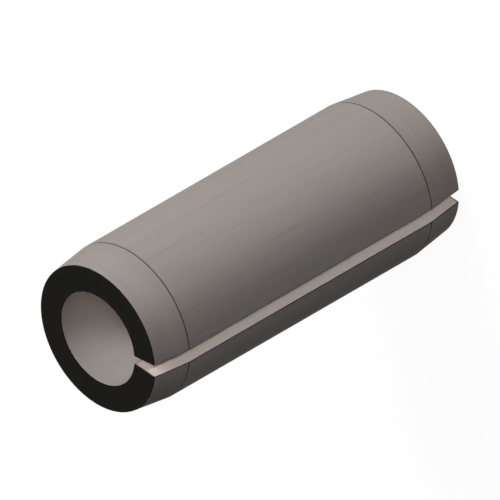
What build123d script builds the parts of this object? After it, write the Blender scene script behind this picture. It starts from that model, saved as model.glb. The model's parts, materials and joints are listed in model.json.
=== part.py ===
from build123d import *

import os
from math import radians, tan

# Slotted spring pin, also called a roll pin: one strip of spring steel rolled into an open tube.
# The pin stands on its lower end face at z = 0, with +Z along its axis, which is x = y = 0.
# The gap that the rolled strip leaves, its slot, is on the -Y side, open from end to end.

# Driving dimensions, in millimetres and degrees, as the pin is before it is driven into its hole.
free_diameter = 10.0  # over the outside of the rolled strip, a little more than the hole
length = 25.0  # from end face to end face
wall = 2.0  # thickness of the strip
gap_angle = 10.0  # between the strip's two edges, as seen from the axis
cone_length = 2.55  # along the axis, the same at both ends
cone_angle = 7.35  # slope of the lead-in cone against the axis
edge_break = 0.06  # radius that tumbling leaves on every sheared or cut edge

# Directions, in degrees.
full_turn = 360.0
slot_direction = -90.0  # the -Y side, as an angle from +X

# Radii that follow from the driving dimensions.
outer_radius = free_diameter / 2
bore_radius = outer_radius - wall
end_radius = outer_radius - cone_length * tan(radians(cone_angle))


def wall_section():
    """The wall cut along the pin: straight on the bore's side, a lead-in cone at each end outside."""
    corners = [
        (bore_radius, 0),
        (end_radius, 0),
        (outer_radius, cone_length),
        (outer_radius, length - cone_length),
        (end_radius, length),
        (bore_radius, length),
    ]
    return Plane.XZ * make_face(Polyline(*corners, close=True))


def rolled_strip():
    """The strip rolled round the axis, short of a full turn, so that its square edges face the axis."""
    strip = revolve(wall_section(), Axis.Z, revolution_arc=full_turn - gap_angle)
    return strip.rotate(Axis.Z, slot_direction + gap_angle / 2)


def sheared_edges(strip):
    """All edges but the widest rings, where a pressed cone runs into the cylinder and nothing is cut."""
    rings = strip.edges().filter_by(GeomType.CIRCLE)
    pressed_rings = rings.group_by(SortBy.RADIUS)[-1]
    return strip.edges() - pressed_rings


def spring_pin():
    """The whole pin, with the burrs of its sheared edges tumbled off."""
    strip = rolled_strip()
    return fillet(sheared_edges(strip), edge_break)


os.makedirs("parts", exist_ok=True)
export_step(spring_pin(), "parts/spring_pin.step")
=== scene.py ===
"""A slotted spring pin standing on its end in a plain studio, seen as the maker's drawing shows it.

Lengths are in metres and angles in degrees, unless a name says otherwise. The pin's axis is +Z, it
stands on z = 0 and its slot faces -Y. A direction round the pin is an angle from +X towards +Y, so the
slot lies at -90.
"""

import json
import logging
from dataclasses import dataclass, field, fields, replace
from enum import Enum
from math import cos, pi, radians, sin, tan

import bpy
import numpy as np
from mathutils import Matrix, Vector


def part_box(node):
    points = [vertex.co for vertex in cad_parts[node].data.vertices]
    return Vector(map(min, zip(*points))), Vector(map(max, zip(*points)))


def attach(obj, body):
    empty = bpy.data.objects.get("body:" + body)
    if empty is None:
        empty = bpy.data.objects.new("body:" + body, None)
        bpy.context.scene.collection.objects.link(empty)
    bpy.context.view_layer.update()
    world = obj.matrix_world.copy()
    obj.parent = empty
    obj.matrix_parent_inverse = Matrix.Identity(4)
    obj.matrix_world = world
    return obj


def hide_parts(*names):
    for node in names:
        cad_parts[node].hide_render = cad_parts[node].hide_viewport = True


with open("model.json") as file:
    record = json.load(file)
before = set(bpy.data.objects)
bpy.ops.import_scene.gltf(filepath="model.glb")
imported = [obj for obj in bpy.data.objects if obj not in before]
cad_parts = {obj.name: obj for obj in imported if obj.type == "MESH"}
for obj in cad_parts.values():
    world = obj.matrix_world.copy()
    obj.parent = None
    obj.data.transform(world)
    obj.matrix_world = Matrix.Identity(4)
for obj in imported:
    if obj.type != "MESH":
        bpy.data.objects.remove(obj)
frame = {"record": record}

MM = 0.001
ORIGIN = (0.0, 0.0, 0.0)
MID_GREY = (0.5, 0.5, 0.5, 1.0)
PIN = "spring_pin"
BAKE_MAP = "OFBake"
EDGE_DISTANCE = "edge_distance"
log = logging.getLogger("slotted_pin")


class Region(Enum):
    """The parts of the strip's skin that get a finish of their own: the wall and the pressed cones, whose
    marks run differently, the end faces, which are painted near black as painted shade, and the bore and the
    slit edges, which are painted lighter as painted light. The value is the mesh's slot.
    """

    OUTER_WALL = 0
    LEAD_IN = 1
    END_FACE = 2
    BORE = 3
    SLIT_EDGE = 4


class Grain(Enum):
    """Which way a finish's marks run: the stretch of the pattern along x, y and z."""

    ALONG_PIN = (1.0, 1.0, 0.03)
    AROUND_PIN = (0.06, 0.06, 1.0)
    ACROSS_END = (0.05, 1.0, 1.0)


class NodeSheet:
    """A short way to fill a node tree: add a node with its settings, and wire sockets together."""

    def __init__(self, tree: bpy.types.NodeTree) -> None:
        """Starts on an emptied tree."""
        self.tree = tree
        tree.nodes.clear()

    def add(self, kind: str, inputs: dict | None = None, **settings: object) -> bpy.types.Node:
        """Adds one node.

        Args:
            kind: the node's type without its ShaderNode prefix.
            inputs: socket name or number to a value, or to another node's output, which is wired in.
            settings: the node's own properties.

        Returns:
            The new node.
        """
        node = self.tree.nodes.new(kind if kind.startswith("Node") else "ShaderNode" + kind)
        for name, value in settings.items():
            setattr(node, name, value)
        for socket, value in (inputs or {}).items():
            if isinstance(value, bpy.types.NodeSocket):
                self.tree.links.new(value, node.inputs[socket])
            else:
                node.inputs[socket].default_value = value
        return node

    def math(self, operation: str, *terms: object) -> bpy.types.NodeSocket:
        """The output of a Math node on the given terms."""
        return self.add("Math", dict(enumerate(terms)), operation=operation).outputs[0]

    def scaled(self, vector: bpy.types.NodeSocket, factor: object) -> bpy.types.NodeSocket:
        """A vector or a colour times a number."""
        return self.add("VectorMath", {0: vector, "Scale": factor}, operation="SCALE").outputs[0]

    def noise(self, vector: bpy.types.NodeSocket, scale: float, detail: float,
              roughness: float = 0.5) -> bpy.types.NodeSocket:
        """A Noise Texture's value, which lies about 0.5.

        Args:
            vector: where it is read.
            scale: how many marks it has to the vector's unit.
            detail: how many finer layers it has.
            roughness: how strong each finer layer is beside the one before.

        Returns:
            The node's output.
        """
        look = {"Vector": vector, "Scale": scale, "Detail": detail, "Roughness": roughness}
        return self.add("TexNoise", look).outputs["Fac"]

    def remap(self, value: bpy.types.NodeSocket, start: tuple[object, object], end: tuple[object, object],
              smooth: bool = False) -> bpy.types.NodeSocket:
        """Carries a value from one pair of limits to another with a Map Range node, which clamps.

        Args:
            value: the value.
            start: its lowest and highest limit.
            end: what the node gives at each of them.
            smooth: whether it eases at both limits.

        Returns:
            The node's output.
        """
        limits = dict(zip(("From Min", "From Max", "To Min", "To Max"), (*start, *end)))
        shape = "SMOOTHSTEP" if smooth else "LINEAR"
        return self.add("MapRange", {"Value": value, **limits}, interpolation_type=shape).outputs["Result"]


def new_group(name: str, inputs: dict[str, tuple[str, object]], outputs: dict[str, str]) -> NodeSheet:
    """Makes an empty shader node group with named sockets.

    Args:
        name: the group's name.
        inputs: socket name to its kind and default value.
        outputs: socket name to its kind.

    Returns:
        The sheet to fill. Its tree is the group.
    """
    tree = bpy.data.node_groups.new(name, "ShaderNodeTree")
    sheet = NodeSheet(tree)
    for title, (kind, default) in inputs.items():
        socket = tree.interface.new_socket(title, in_out="INPUT", socket_type="NodeSocket" + kind)
        socket.default_value = default
    for title, kind in outputs.items():
        tree.interface.new_socket(title, in_out="OUTPUT", socket_type="NodeSocket" + kind)
    return sheet


@dataclass(frozen=True)
class SteelGrain:
    """The marks that rolls, dies and shears leave: fine lines over slow waves, with a few deeper scores.

    The waves and the scores have their own pitch, as a share of the fine lines'. A score is where the
    noise that draws it passes the first limit, and it has its full depth from the second one.
    """

    wave_share: float = 0.17
    score_share: float = 0.42
    score_limits: tuple[float, float] = (0.66, 0.74)
    score_depth: float = 0.4
    score_shade: float = 0.3

    def group(self) -> bpy.types.NodeTree:
        """Builds the marks.

        Height is the mean of the fine lines and the waves, less the scores. Tone is Height about 0, less
        the scores' own shade. It says how much lighter or darker the metal is there.

        Returns:
            The node group, with inputs Vector, Pitch (marks to the metre) and Scores, and outputs Height
            and Tone.
        """
        sheet = new_group(
            "steel_grain",
            {"Vector": ("Vector", ORIGIN), "Pitch": ("Float", 9 / MM), "Scores": ("Float", 0.3)},
            {"Height": "Float", "Tone": "Float"},
        )
        given = sheet.add("NodeGroupInput").outputs
        place = sheet.scaled(given["Vector"], given["Pitch"])
        fine = sheet.noise(place, scale=1.0, detail=3.0, roughness=0.6)
        waves = sheet.noise(place, scale=self.wave_share, detail=2.0)
        cuts = sheet.noise(place, scale=self.score_share, detail=1.0, roughness=0.4)
        score = sheet.remap(cuts, self.score_limits, (0.0, 1.0), smooth=True)
        score = sheet.math("MULTIPLY", score, given["Scores"])
        sunk = sheet.math("MULTIPLY", score, -self.score_depth)
        height = sheet.math("MULTIPLY_ADD", sheet.math("ADD", fine, waves), 0.5, sunk)
        shade = sheet.math("MULTIPLY", score, self.score_shade)
        tone = sheet.math("SUBTRACT", sheet.math("SUBTRACT", height, 0.5), shade)
        sheet.add("NodeGroupOutput", {"Height": height, "Tone": tone})
        return sheet.tree


@dataclass(frozen=True)
class TemperFilm:
    """The thin oxide that tempering leaves: slow clouds that shift the grey a little warmer or cooler.

    clouds is their number to the metre. The grey is cool where their noise lies under the first limit, and
    warm where it lies over the second one.
    """

    clouds: float = 0.16 / MM
    limits: tuple[float, float] = (0.3, 0.7)
    cool: tuple[float, float, float] = (0.95, 0.99, 1.03)
    warm: tuple[float, float, float] = (1.05, 1.01, 0.97)

    def group(self) -> bpy.types.NodeTree:
        """Builds the film.

        Returns:
            The node group, with inputs Color, Vector and Amount, and output Color.
        """
        sheet = new_group(
            "temper_film",
            {"Color": ("Color", MID_GREY), "Vector": ("Vector", ORIGIN), "Amount": ("Float", 0.1)},
            {"Color": "Color"},
        )
        given = sheet.add("NodeGroupInput").outputs
        clouds = sheet.noise(given["Vector"], scale=self.clouds, detail=4.0, roughness=0.55)
        warmth = sheet.remap(clouds, self.limits, (0.0, 1.0), smooth=True)
        tints = {"Factor": warmth, "A": (*self.cool, 1.0), "B": (*self.warm, 1.0)}
        tint = sheet.add("Mix", tints, data_type="RGBA").outputs["Result"]
        layers = {"Factor": given["Amount"], "A": given["Color"], "B": tint}
        tinted = sheet.add("Mix", layers, data_type="RGBA", blend_type="MULTIPLY").outputs["Result"]
        sheet.add("NodeGroupOutput", {"Color": tinted})
        return sheet.tree


@dataclass(frozen=True)
class EdgeLine:
    """What follows a sheared edge or a pressed ring: a thin line, and a wider, patchy band beside it.

    The line is full over its core's share of its width, and fades out over the rest. The band is where
    handling has polished the steel. Its reach changes between the two rub widths, in widths of the line,
    and patches is the number of those changes to the metre.
    """

    width: float = 0.06 * MM
    core_share: float = 0.4
    patches: float = 1.4 / MM
    patch_limits: tuple[float, float] = (0.35, 0.7)
    rub_widths: tuple[float, float] = (1.5, 7.0)

    def group(self) -> bpy.types.NodeTree:
        """Builds the two masks from the distances that the mesh holds.

        Returns:
            The node group, with inputs Vector and Width, and outputs Line and Rub, both 1 at the edge.
        """
        sheet = new_group(
            "edge_line",
            {"Vector": ("Vector", ORIGIN), "Width": ("Float", self.width)},
            {"Line": "Float", "Rub": "Float"},
        )
        given = sheet.add("NodeGroupInput").outputs
        distance = sheet.add("Attribute", attribute_name=EDGE_DISTANCE).outputs["Fac"]
        core = sheet.math("MULTIPLY", given["Width"], self.core_share)
        line = sheet.remap(distance, (core, given["Width"]), (1.0, 0.0), smooth=True)
        patches = sheet.noise(given["Vector"], scale=self.patches, detail=2.0)
        widths = sheet.remap(patches, self.patch_limits, self.rub_widths)
        reach = sheet.math("MULTIPLY", given["Width"], widths)
        rub = sheet.remap(distance, (0.0, reach), (1.0, 0.0), smooth=True)
        sheet.add("NodeGroupOutput", {"Line": line, "Rub": rub})
        return sheet.tree


@dataclass
class Workshop:
    """The node groups that the finishes share, each built once."""

    grain: bpy.types.NodeTree = field(default_factory=SteelGrain().group)
    temper: bpy.types.NodeTree = field(default_factory=TemperFilm().group)
    edge: bpy.types.NodeTree = field(default_factory=EdgeLine().group)


@dataclass(frozen=True)
class SteelFinish:
    """One finish of the strip: its colour, its gloss and the marks on it.

    The marks have a pitch, in marks to the metre, and a depth. tone is how far they shade the colour, and
    swing how far they change the roughness. line_shade is how bright the line along an edge is beside the
    colour, and polish is how much smoother the rubbed band is. scores and temper are the strength of the
    scores and of the tempering's film.
    """

    name: str
    color: tuple[float, float, float]
    roughness: float
    specular: float
    grain: Grain
    pitch: float
    depth: float
    tone: float
    line_shade: float
    scores: float = 0.3
    temper: float = 0.5
    swing: float = 0.3
    polish: float = 0.06

    def material(self, shop: Workshop) -> bpy.types.Material:
        """Builds the finish as a material.

        Args:
            shop: the shared node groups.

        Returns:
            The material. Colour, roughness and bump vary over the surface, and the rest is plain.
        """
        made = bpy.data.materials.new(self.name)
        made.use_nodes = True
        sheet = NodeSheet(made.node_tree)
        place = sheet.add("TexCoord").outputs["Object"]
        stretched = sheet.add("Mapping", {"Vector": place, "Scale": self.grain.value}).outputs["Vector"]
        marks = {"Vector": stretched, "Pitch": self.pitch, "Scores": self.scores}
        grain = sheet.add("Group", marks, node_tree=shop.grain).outputs
        film = {"Color": (*self.color, 1.0), "Vector": place, "Amount": self.temper}
        temper = sheet.add("Group", film, node_tree=shop.temper).outputs
        edge = sheet.add("Group", {"Vector": place}, node_tree=shop.edge).outputs
        shade = sheet.math("MULTIPLY_ADD", grain["Tone"], self.tone, 1.0)
        line = sheet.remap(edge["Line"], (0.0, 1.0), (1.0, self.line_shade))
        colour = sheet.scaled(temper["Color"], sheet.math("MULTIPLY", shade, line))
        rough = sheet.math("MULTIPLY_ADD", grain["Tone"], self.swing, self.roughness)
        rough = sheet.math("MULTIPLY_ADD", edge["Rub"], -self.polish, rough)
        relief = {"Height": grain["Height"], "Strength": 1.0, "Distance": self.depth}
        shader = sheet.add("BsdfPrincipled", {
            "Base Color": colour,
            "Roughness": rough,
            "Specular IOR Level": self.specular,
            "Normal": sheet.add("Bump", relief).outputs["Normal"],
        })
        sheet.add("OutputMaterial", {"Surface": shader.outputs["BSDF"]})
        return made


ROLLED_STEEL = SteelFinish(
    name="rolled_steel", color=(0.285, 0.2555, 0.239), roughness=0.55, specular=0.012,
    grain=Grain.ALONG_PIN, pitch=9 / MM, depth=0.0025 * MM, tone=0.33, line_shade=0.22,
)
FINISHES: dict[Region, SteelFinish] = {
    Region.OUTER_WALL: ROLLED_STEEL,
    Region.LEAD_IN: replace(ROLLED_STEEL, name="pressed_steel", grain=Grain.AROUND_PIN),
    # The end faces are painted near black: painted shade, the dark of faces turned away from the light, not
    # a colour of the steel.
    Region.END_FACE: SteelFinish(
        name="blackened_shear", color=(0.0128, 0.0121, 0.0112), roughness=0.75, specular=0.02,
        grain=Grain.ACROSS_END, pitch=9 / MM, depth=0.002 * MM, tone=0.4, line_shade=1.0,
    ),
    # The bore is painted about two and a half times lighter than the wall: steel grey with painted light,
    # standing in for the light that falls off inside the tube.
    Region.BORE: SteelFinish(
        name="bore_steel", color=(0.74, 0.685, 0.65), roughness=0.55, specular=0.06,
        grain=Grain.ALONG_PIN, pitch=7 / MM, depth=0.0025 * MM, tone=0.2, line_shade=0.3,
    ),
    # The slit edges are painted about three times lighter than the wall: steel grey with painted light,
    # standing in for the light that the narrow slot keeps out.
    Region.SLIT_EDGE: SteelFinish(
        name="slit_steel", color=(0.85, 0.765, 0.72), roughness=0.5, specular=0.1,
        grain=Grain.ALONG_PIN, pitch=12 / MM, depth=0.0015 * MM, tone=0.15, scores=0.5, line_shade=0.3,
    ),
}


@dataclass(frozen=True)
class MapPatch:
    """Where a stretch of the skin lies on the square map that its finish is baked to.

    A stretch that goes round the pin has its turn across the map and the section's outline up it. A slit
    edge has the wall across and the height up. A turned stretch swaps the two.
    """

    left: float
    bottom: float
    turned: bool = False

    def lay(self, across: np.ndarray, along: np.ndarray) -> np.ndarray:
        """The map's places for points this far across and along the stretch."""
        right, up = (along, across) if self.turned else (across, along)
        return np.stack([self.left + right, self.bottom + up], -1)


@dataclass(frozen=True)
class BakeMap:
    """The square map itself, as large as the skin laid flat, with a patch for each of its stretches.

    The outside stands in the lower left corner, with four narrow columns beside it: the upper end face,
    the lower end face and the two slit edges. The bore lies on its side in the row above.
    """

    side: float
    outside: MapPatch
    bore: MapPatch
    ends: tuple[MapPatch, MapPatch]
    slits: tuple[MapPatch, MapPatch]

    @classmethod
    def laid_out(cls, length: float, outer_radius: float, bore_radius: float, margin: float) -> "BakeMap":
        """Lays the patches out side by side.

        Args:
            length: the pin's length.
            outer_radius: the radius that the outside is unrolled at.
            bore_radius: the radius that the bore is unrolled at.
            margin: about how far the patches stay apart, and from the map's edges.

        Returns:
            The map. The row above starts a little further up, because the outside is longer than the pin
            by the slope of its cones.
        """
        upper_row = length + 3 * margin
        column_step = outer_radius - bore_radius + margin
        upper, lower, first, last = 2 * pi * outer_radius + 2 * margin + column_step * np.arange(4)
        return cls(
            side=max(upper_row + 2 * pi * bore_radius + margin, last + column_step),
            outside=MapPatch(margin, margin),
            bore=MapPatch(margin, upper_row, turned=True),
            ends=(MapPatch(upper, margin, turned=True), MapPatch(lower, margin, turned=True)),
            slits=(MapPatch(first, margin), MapPatch(last, margin)),
        )


def crowded(count: int) -> np.ndarray:
    """Numbers from 0 to 1 that crowd towards both ends, as half a cosine does."""
    return (1 - np.cos(np.linspace(0, pi, count))) / 2


def mirrored(lower: np.ndarray, height: float) -> np.ndarray:
    """Rows of radius and height up to half of height, with their mirror image added above the last row."""
    return np.concatenate([lower, lower[-2::-1] * (1, -1) + (0, height)])


def quad_corners(grid: np.ndarray) -> np.ndarray:
    """What a grid holds at the four corners of each of its cells, which are the new third axis."""
    return np.stack([grid[:-1, :-1], grid[1:, :-1], grid[1:, 1:], grid[:-1, 1:]], 2)


def around_axis(flat: np.ndarray, turn: np.ndarray) -> np.ndarray:
    """Radius and height set at a turn round the axis: radius cos turn, radius sin turn, height."""
    return np.stack([flat[..., 0] * np.cos(turn), flat[..., 0] * np.sin(turn), flat[..., 1]], -1)


@dataclass
class Skin:
    """A mesh as whole arrays, before it goes into Blender.

    The first three hold a row for each point, and the last three one for each quad. flat gives the places
    of a quad's corners on the bake map, as shares of its side.
    """

    points: np.ndarray
    normals: np.ndarray
    edge_distance: np.ndarray
    quads: np.ndarray
    regions: np.ndarray
    flat: np.ndarray

    def joined(self, *others: "Skin") -> "Skin":
        """This skin with others added, whose quads already number the points of the whole."""
        whole = (self, *others)
        return Skin(*(np.concatenate([getattr(skin, part.name) for skin in whole]) for part in fields(self)))

    def piece(self, name: str) -> bpy.types.Object:
        """Puts the arrays into a mesh and links its object at the origin.

        Args:
            name: the piece's name.

        Returns:
            The object, smooth, with its exact normals, the map that its finishes are baked to, and the
            distance attribute that they read.
        """
        mesh = bpy.data.meshes.new(name)
        mesh.vertices.add(len(self.points))
        mesh.vertices.foreach_set("co", self.points.astype(np.float32).ravel())
        mesh.loops.add(self.quads.size)
        mesh.loops.foreach_set("vertex_index", self.quads.astype(np.int32).ravel())
        mesh.polygons.add(len(self.quads))
        mesh.polygons.foreach_set("loop_start", np.arange(0, self.quads.size, 4, dtype=np.int32))
        mesh.polygons.foreach_set("material_index", self.regions.astype(np.int32))
        mesh.polygons.foreach_set("use_smooth", np.ones(len(self.quads), bool))
        mesh.update(calc_edges=True)
        distance = mesh.attributes.new(EDGE_DISTANCE, "FLOAT", "POINT")
        distance.data.foreach_set("value", self.edge_distance.astype(np.float32))
        flat_map = mesh.uv_layers.new(name=BAKE_MAP)
        flat_map.uv.foreach_set("vector", self.flat.astype(np.float32).ravel())
        mesh.normals_split_custom_set_from_vertices(self.normals)
        piece = bpy.data.objects.new(name, mesh)
        bpy.context.scene.collection.objects.link(piece)
        return piece


@dataclass
class Stops:
    """Where the outline is set round the axis, from one slit edge to the other, as one row for each stop.

    At each slit edge the outline starts drawn in by the edge's small radius and rolls out to full size
    along a quarter arc, which rounds the edge.

    direction is in radians, drawn is how far the outline is drawn in, off is how far it stands off the
    slit edge, and lean is how much its normal leans into the slot, negative at the first edge.
    """

    direction: np.ndarray
    drawn: np.ndarray
    off: np.ndarray
    lean: np.ndarray

    def swept(self, radius: float) -> np.ndarray:
        """How far each stop is round from the first slit edge, at a radius and over the rounded edges."""
        around = (self.direction - self.direction[0]) * radius
        return around + self.off + np.sign(self.lean) * self.drawn


@dataclass
class RolledStrip:
    """The pin itself: a wall's section carried round the axis, short of a full turn.

    The section is a grid. Its rows climb from the lower end face to the upper one, and its columns cross
    the wall from the bore to the outside. Its outline, carried round, is the skin, and the whole grid
    closes the skin at each of the strip's two slit edges. The wall's rows crowd towards the rings by the
    power wall_crowding.

    end_break and slit_break are the radii of the tumbled edges, and press_radius is the press die's, at
    the rings where a cone meets the wall.
    """

    length: float
    outer_radius: float
    bore_radius: float
    cone_length: float
    cone_angle: float = 7.35
    gap_angle: float = 10.0
    slot_direction: float = -90.0
    end_break: float = 0.06 * MM
    slit_break: float = 0.05 * MM
    press_radius: float = 0.6 * MM
    map_margin: float = 0.4 * MM
    arc_points: int = 6
    cone_points: int = 18
    wall_points: int = 18
    wall_crowding: float = 1.7
    columns: int = 14
    stations: int = 230

    @classmethod
    def from_frame(cls) -> "RolledStrip":
        """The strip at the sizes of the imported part: its box, and the radii that its mounts state."""
        mounts = {mount["name"]: mount["dims"] for mount in frame["record"]["mounts"]}
        low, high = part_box(PIN)
        length = high[2] - low[2]
        return cls(
            length=length,
            outer_radius=mounts["outer_wall"]["r_mm"] * MM,
            bore_radius=mounts["bore"]["r_mm"] * MM,
            cone_length=(length - mounts["outer_wall"]["length_mm"] * MM) / 2,
        )

    @property
    def end_radius(self) -> float:
        """The outer radius at the end faces, as it would be with sharp edges."""
        return self.outer_radius - self.cone_length * tan(radians(self.cone_angle))

    @property
    def bake_map(self) -> BakeMap:
        """The map that the skin is laid flat on."""
        return BakeMap.laid_out(self.length, self.outer_radius, self.bore_radius, self.map_margin)

    def outer_side(self) -> tuple[np.ndarray, np.ndarray]:
        """The section's outer side, from the lower end to the upper.

        Each corner is an arc: its centre plus its radius times the normal, which turns evenly. The cone
        and the wall are straight runs between the arcs, with rows that crowd towards the arcs.

        Returns:
            The points as radius and height, and their normals.
        """
        slope = radians(self.cone_angle)
        turn = np.linspace(-pi / 2, -slope, self.arc_points)
        bend = np.linspace(-slope, 0, self.arc_points)
        turn_normal = np.stack([np.cos(turn), np.sin(turn)], 1)
        bend_normal = np.stack([np.cos(bend), np.sin(bend)], 1)
        turn_centre = (self.end_radius - self.end_break * (1 - sin(slope)) / cos(slope), self.end_break)
        bend_height = self.cone_length + self.press_radius * tan(slope / 2)
        bend_centre = (self.outer_radius - self.press_radius, bend_height)
        corner = turn_centre + self.end_break * turn_normal
        press = bend_centre + self.press_radius * bend_normal
        cone = corner[-1] + crowded(self.cone_points)[1:-1, None] * (press[0] - corner[-1])
        middle = (self.outer_radius, self.length / 2)
        climb = np.linspace(0, 1, self.wall_points)[1:, None] ** self.wall_crowding
        wall = press[-1] + climb * (middle - press[-1])
        cone_normal = np.tile(turn_normal[-1], (len(cone), 1))
        wall_normal = np.tile(bend_normal[-1], (len(wall), 1))
        points = np.concatenate([corner, cone, press, wall])
        normals = np.concatenate([turn_normal, cone_normal, bend_normal, wall_normal])
        return mirrored(points, self.length), mirrored(normals, 0)

    def bore_side(self, heights: np.ndarray) -> tuple[np.ndarray, np.ndarray]:
        """The section's side towards the bore: straight, with a quarter arc at each end.

        Args:
            heights: the outer side's heights, which the straight rows share.

        Returns:
            The points as radius and height, and their normals.
        """
        half = len(heights) // 2 + 1
        points = np.stack([np.full(half, self.bore_radius), heights[:half]], 1)
        normals = np.tile((-1.0, 0.0), (half, 1))
        curl = np.linspace(0, pi / 2, self.arc_points)
        normals[:self.arc_points] = -np.stack([np.sin(curl), np.cos(curl)], 1)
        centre = (self.bore_radius + self.end_break, self.end_break)
        points[:self.arc_points] = centre + self.end_break * normals[:self.arc_points]
        return mirrored(points, self.length), mirrored(normals, 0)

    def section(self, inset: float = 0.0) -> tuple[np.ndarray, np.ndarray]:
        """The section's grid: each row runs straight across the wall, between the two sides.

        Args:
            inset: how far both sides and both ends are drawn in, against their normals.

        Returns:
            Points and normals, as rows by columns by radius and height. The normals hold on the outline.
        """
        outer, outer_normal = self.outer_side()
        inner, inner_normal = self.bore_side(outer[:, 1])
        outer, inner = outer - inset * outer_normal, inner - inset * inner_normal
        across = crowded(self.columns)[None, :, None]
        points = inner[:, None] + across * (outer - inner)[:, None]
        normals = np.where(across < 0.5, inner_normal[:, None], outer_normal[:, None])
        return points, normals

    def outline(self, rows: int) -> tuple[np.ndarray, np.ndarray]:
        """The outline's places in the grid: up the outside, in over the upper end, down the bore and out.

        Args:
            rows: how many rows the grid has.

        Returns:
            The row and the column of each point of the outline.
        """
        up, inward = np.arange(rows), np.arange(self.columns - 2, 0, -1)
        row = np.concatenate([up, np.full(len(inward), rows - 1), up[::-1], np.zeros(len(inward), int)])
        column = np.concatenate([np.full(rows, self.columns - 1), inward, np.zeros(rows, int), inward[::-1]])
        return row, column

    def edge_distance(self, points: np.ndarray) -> np.ndarray:
        """How far points of the section lie from its sharp corners and its pressed rings.

        Args:
            points: an array that ends in radius and height.

        Returns:
            The distances, in the same shape without the last axis.
        """
        ring = (self.outer_radius, self.cone_length)
        lower = np.array([(self.bore_radius, 0), (self.end_radius, 0), ring])
        corners = np.concatenate([lower, lower * (1, -1) + (0, self.length)])
        return np.linalg.norm(points[..., None, :] - corners, axis=-1).min(axis=-1)

    def round_stops(self) -> Stops:
        """Sets the outline round the axis: a rounded edge, even steps, and the other edge.

        The even steps keep twice the edges' radius clear of each slit edge, as measured at the bore.

        Returns:
            The stops.
        """
        first = radians(self.slot_direction + self.gap_angle / 2)
        last = first + 2 * pi - radians(self.gap_angle)
        clear = 2 * self.slit_break / self.bore_radius
        roll = np.linspace(0, pi / 2, self.arc_points)
        drawn = self.slit_break * (1 - np.sin(roll))
        off = self.slit_break * (1 - np.cos(roll))
        lean = np.cos(roll)
        flat = np.zeros(self.stations)
        between = np.linspace(first + clear, last - clear, self.stations)
        return Stops(
            direction=np.concatenate([np.full(len(roll), first), between, np.full(len(roll), last)]),
            drawn=np.concatenate([drawn, flat, drawn[::-1]]),
            off=np.concatenate([off, flat, -off[::-1]]),
            lean=np.concatenate([-lean, flat, lean[::-1]]),
        )

    def skin(self) -> Skin:
        """The whole closed skin: the outline carried round the axis, and a grid over each slit edge.

        A point is (radius cos turn, radius sin turn, height). Near a slit edge the turn grows by the
        distance off that edge over the radius, so that the rounded edge is as wide at any radius. The
        normal is the section's own, times the share that the lean leaves, plus the lean along the circle.
        The distance to a slit edge is the hypotenuse of how far round and how far drawn in the point is.

        Returns:
            The skin as whole arrays.
        """
        points, normals = self.section()
        row, column = self.outline(len(points))
        stops = self.round_stops()
        line, line_normal = points[row, column], normals[row, column]
        carried = line[None] - stops.drawn[:, None, None] * line_normal[None]
        turn = stops.direction[:, None] + stops.off[:, None] / carried[..., 0]
        share = np.sqrt(1 - stops.lean ** 2)[:, None, None]
        facing = share * around_axis(np.broadcast_to(line_normal, carried.shape), turn)
        facing += stops.lean[:, None, None] * np.stack([-np.sin(turn), np.cos(turn), 0 * turn], -1)
        around = np.minimum(stops.direction - stops.direction[0], stops.direction[-1] - stops.direction)
        to_slit = around[:, None] * carried[..., 0] + np.abs(stops.off)[:, None]
        to_slit = np.hypot(to_slit, stops.drawn[:, None])
        numbers = np.arange(turn.size).reshape(turn.shape)
        body = Skin(
            points=around_axis(carried, turn).reshape(-1, 3),
            normals=facing.reshape(-1, 3),
            edge_distance=np.minimum(self.edge_distance(line), to_slit).ravel(),
            quads=quad_corners(np.concatenate([numbers, numbers[:, :1]], 1)).reshape(-1, 4),
            regions=np.tile(self.outline_regions(len(points)), len(turn) - 1),
            flat=self.flattened(line, stops).reshape(-1, 4, 2),
        )
        return body.joined(self.slit_patch(stops, numbers, 0), self.slit_patch(stops, numbers, 1))

    def outline_regions(self, rows: int) -> np.ndarray:
        """The region of each run of the outline, from one of its points to the next.

        The tumbled edge round an end face carries the face's painted shade and is as black as the face
        itself, and a cone's finish ends half way round the ring that the die has pressed.

        Args:
            rows: how many rows the section has.

        Returns:
            The regions' numbers.
        """
        tumbled = self.arc_points - 1
        lead_in = tumbled + self.cone_points - 1 + tumbled // 2
        outside = np.full(rows - 1, Region.OUTER_WALL.value)
        outside[:lead_in] = outside[-lead_in:] = Region.LEAD_IN.value
        bore = np.full(rows - 1, Region.BORE.value)
        # The tumbled edges take the end faces' painted shade.
        for side in (outside, bore):
            side[:tumbled] = side[-tumbled:] = Region.END_FACE.value
        end = np.full(self.columns - 1, Region.END_FACE.value)
        return np.concatenate([outside, end, bore, end])

    def flattened(self, line: np.ndarray, stops: Stops) -> np.ndarray:
        """The skin round the axis laid flat on the bake map.

        The outside, the upper end, the bore and the lower end are each unrolled at a radius of their own.
        A point lies as far across as it is round at that radius, and as far up as it is along the outline.

        Args:
            line: the outline's points, as radius and height.
            stops: where the outline is set round the axis.

        Returns:
            The places as shares of the map's side, as stops by runs of the outline by corners by two.
        """
        runs = np.linalg.norm(np.roll(line, -1, axis=0) - line, axis=1)
        end = self.columns - 1
        side = len(line) // 2 - end
        middle = (self.outer_radius + self.bore_radius) / 2
        bake_map = self.bake_map
        stretches = (
            (bake_map.outside, self.outer_radius, side),
            (bake_map.ends[0], middle, end),
            (bake_map.bore, self.bore_radius, side),
            (bake_map.ends[1], middle, end),
        )
        laid = []
        start = 0
        for patch, radius, count in stretches:
            along = np.concatenate([[0.0], np.cumsum(runs[start:start + count])])
            grid = np.meshgrid(stops.swept(radius), along, indexing="ij")
            laid.append(quad_corners(patch.lay(*grid)))
            start += count
        return np.concatenate(laid, axis=1) / bake_map.side

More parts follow.
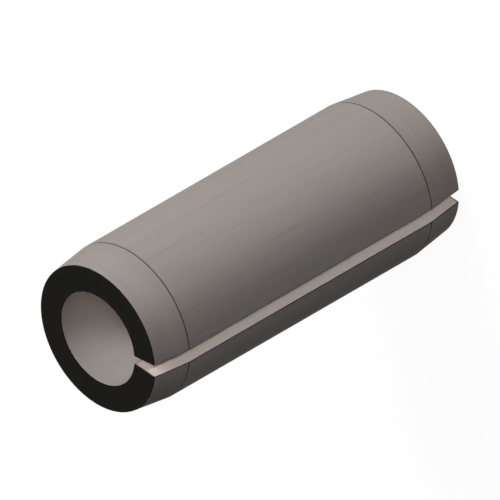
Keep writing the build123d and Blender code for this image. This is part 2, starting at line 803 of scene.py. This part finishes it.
    def slit_patch(self, stops: Stops, numbers: np.ndarray, side: int) -> Skin:
        """The flat grid over one slit edge, which shares its outline with the skin's first or last stop.

        Its points are the section's, drawn in by the edge's radius. The dark lines along the bore and the
        ends lie on the flat itself, and the one along the outside lies on the rounded edge. At the first
        edge the quads are turned over and the normal points back, so that both patches face the slot.

        Args:
            stops: where the outline is set round the axis.
            numbers: the skin's own point numbers, as stops by the outline's points.
            side: 0 for the first edge, 1 for the last. Its negative is the number of that edge's stop.

        Returns:
            The patch: its inner points, and quads that number them after the skin and the patch before.
        """
        points, _ = self.section(self.slit_break)
        radius, height = points[..., 0], points[..., 1]
        inner = points[1:-1, 1:-1]
        spare = numbers.size + side * inner[..., 0].size
        grid = np.empty(radius.shape, int)
        grid[self.outline(len(points))] = numbers[-side]
        grid[1:-1, 1:-1] = spare + np.arange(inner[..., 0].size).reshape(inner.shape[:2])
        quads = quad_corners(grid).reshape(-1, 4)
        bake_map = self.bake_map
        places = bake_map.slits[side].lay(radius - self.bore_radius, height) / bake_map.side
        flat = quad_corners(places).reshape(-1, 4, 2)
        order = slice(None) if side else slice(None, None, -1)
        to_side = np.minimum(radius - radius[:, :1], radius[:, -1:] - radius + self.slit_break)
        to_end = np.minimum(height, self.length - height) - self.slit_break
        distance = np.minimum(to_side, to_end)
        direction = stops.direction[-side]
        out = 2 * side - 1
        return Skin(
            points=around_axis(inner, np.full(inner.shape[:2], direction)).reshape(-1, 3),
            normals=np.tile((-out * sin(direction), out * cos(direction), 0.0), (inner[..., 0].size, 1)),
            edge_distance=distance[1:-1, 1:-1].ravel(),
            quads=quads[:, order],
            regions=np.full(len(quads), Region.SLIT_EDGE.value),
            flat=flat[:, order],
        )

    def build(self, shop: Workshop) -> bpy.types.Object:
        """Makes the pin's object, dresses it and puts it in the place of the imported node.

        Args:
            shop: the shared node groups.

        Returns:
            The finished piece.
        """
        piece = self.skin().piece("rolled_pin")
        for region in Region:
            piece.data.materials.append(FINISHES[region].material(shop))
        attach(piece, "root")
        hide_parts(PIN)
        return piece


@dataclass(frozen=True)
class Softbox:
    """A wide or square lamp that faces the pin's middle.

    Its level is how bright it makes a white card that stands at the pin and faces it, where 1 is white.
    In watts, that takes the level times pi squared times the distance squared.
    """

    name: str
    direction: float
    elevation: float
    level: float
    width: float
    height: float
    distance: float = 0.3

    def place(self, target: Vector) -> bpy.types.Object:
        """Hangs the lamp.

        Args:
            target: the point that it faces.

        Returns:
            The lamp.
        """
        data = bpy.data.lights.new(self.name, "AREA")
        data.shape = "RECTANGLE"
        data.size, data.size_y = self.width, self.height
        data.energy = self.level * pi ** 2 * self.distance ** 2
        lamp = bpy.data.objects.new(self.name, data)
        away = self.away()
        lamp.location = target + away * self.distance
        lamp.rotation_mode = "QUATERNION"
        lamp.rotation_quaternion = away.to_track_quat("Z", "Y")
        bpy.context.scene.collection.objects.link(lamp)
        return lamp

    def away(self) -> Vector:
        """The unit vector from the pin to the lamp."""
        direction, elevation = radians(self.direction), radians(self.elevation)
        across = cos(elevation)
        return Vector((across * cos(direction), across * sin(direction), sin(elevation)))


@dataclass
class Studio:
    """A pale floor, dim air, a few softboxes and the camera of the drawing's isometric view.

    The floor gives the pin floor_grey of the light that falls on it. Where it is looked at, it glows at
    white_level and gives shadow_grey on top, so that the pin's shadow shows. The camera aims aim_right and
    aim_up of the target, in its own directions.
    """

    target: Vector
    floor_size: float = 4.0
    floor_gap: float = 0.01 * MM
    floor_grey: float = 0.15
    white_level: float = 0.94
    shadow_grey: float = 0.13
    air_level: float = 0.01
    camera_distance: float = 0.3
    view_width: float = 28.985 * MM
    aim_right: float = 0.0075 * MM
    aim_up: float = 0.062 * MM
    nearest_seen: float = 1 * MM
    farthest_seen: float = 10.0
    softboxes: tuple[Softbox, ...] = (
        Softbox("key", direction=28, elevation=1, level=0.71, width=0.12, height=0.02),
        Softbox("top", direction=16, elevation=50, level=0.43, width=0.12, height=0.12),
        Softbox("opening", direction=-38, elevation=38, level=0.1, width=0.05, height=0.05),
        Softbox("slot", direction=-44, elevation=1, level=0.28, width=0.02, height=0.02),
        Softbox("back", direction=135, elevation=14, level=0.3, width=0.12, height=0.12),
    )

    def seen_white(self, sheet: NodeSheet) -> bpy.types.NodeSocket:
        """1 on the rays that look at the background: from the camera, a gloss or through a clear piece."""
        path = sheet.add("LightPath").outputs
        direct = sheet.math("MAXIMUM", path["Is Camera Ray"], path["Is Glossy Ray"])
        return sheet.math("MAXIMUM", direct, path["Is Transmission Ray"])

    def floor(self) -> bpy.types.Object:
        """The floor: pale paper that looks white, with a faint grey of its own that keeps the shadow."""
        half, level = self.floor_size / 2, -self.floor_gap
        mesh = bpy.data.meshes.new("studio_floor")
        corners = [(-half, -half, level), (half, -half, level), (half, half, level), (-half, half, level)]
        mesh.from_pydata(corners, [], [(0, 1, 2, 3)])
        made = bpy.data.materials.new("studio_paper")
        made.use_nodes = True
        sheet = NodeSheet(made.node_tree)
        grey, shadow = self.floor_grey, self.shadow_grey
        paper = sheet.add("BsdfDiffuse", {"Color": (grey, grey, grey, 1.0)}).outputs[0]
        faint = sheet.add("BsdfDiffuse", {"Color": (shadow, shadow, shadow, 1.0)}).outputs[0]
        white = sheet.add("Emission", {"Strength": self.white_level}).outputs[0]
        shown = sheet.add("AddShader", {0: white, 1: faint}).outputs[0]
        mixed = sheet.add("MixShader", {0: self.seen_white(sheet), 1: paper, 2: shown})
        sheet.add("OutputMaterial", {"Surface": mixed.outputs[0]})
        mesh.materials.append(made)
        floor = bpy.data.objects.new("studio_floor", mesh)
        bpy.context.scene.collection.objects.link(floor)
        return floor

    def air(self) -> bpy.types.World:
        """The world: dim light on the pin, and plain white where it is looked at."""
        world = bpy.data.worlds.new("studio_air")
        world.use_nodes = True
        sheet = NodeSheet(world.node_tree)
        dim = sheet.add("Background", {"Color": (1.0, 1.0, 1.0, 1.0), "Strength": self.air_level}).outputs[0]
        white = sheet.add("Background", {"Color": (1.0, 1.0, 1.0, 1.0), "Strength": 1.0}).outputs[0]
        mixed = sheet.add("MixShader", {0: self.seen_white(sheet), 1: dim, 2: white})
        sheet.add("OutputWorld", {"Surface": mixed.outputs[0]})
        bpy.context.scene.world = world
        return world

    def camera(self) -> bpy.types.Object:
        """The drawing's view: equally far round and above, from the slot's side, rolled until +X is up."""
        back = Vector((1, -1, 1)).normalized()
        right = Vector((0, -1, -1)).normalized()
        up = back.cross(right)
        data = bpy.data.cameras.new("drawing_view")
        data.type, data.ortho_scale = "ORTHO", self.view_width
        data.clip_start, data.clip_end = self.nearest_seen, self.farthest_seen
        camera = bpy.data.objects.new("drawing_view", data)
        aim = self.target + right * self.aim_right + up * self.aim_up
        turn = Matrix((right, up, back)).transposed().to_4x4()
        camera.matrix_world = Matrix.Translation(aim + back * self.camera_distance) @ turn
        bpy.context.scene.collection.objects.link(camera)
        bpy.context.scene.camera = camera
        return camera

    def build(self) -> None:
        """Sets up the whole studio and the plain view transform."""
        bpy.context.scene.view_settings.view_transform = "Standard"
        self.floor()
        self.air()
        self.camera()
        for softbox in self.softboxes:
            softbox.place(self.target)


def main() -> None:
    """Builds the pin and its studio."""
    logging.basicConfig(level=logging.INFO, format="%(name)s: %(message)s")
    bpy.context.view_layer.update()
    strip = RolledStrip.from_frame()
    pin = strip.build(Workshop())
    log.info("%s: %d faces, %d finishes", pin.name, len(pin.data.polygons), len(pin.data.materials))
    studio = Studio(target=Vector((0.0, 0.0, strip.length / 2)))
    studio.build()
    log.info("studio: %d softboxes", len(studio.softboxes))


if __name__ == "__main__":
    main()
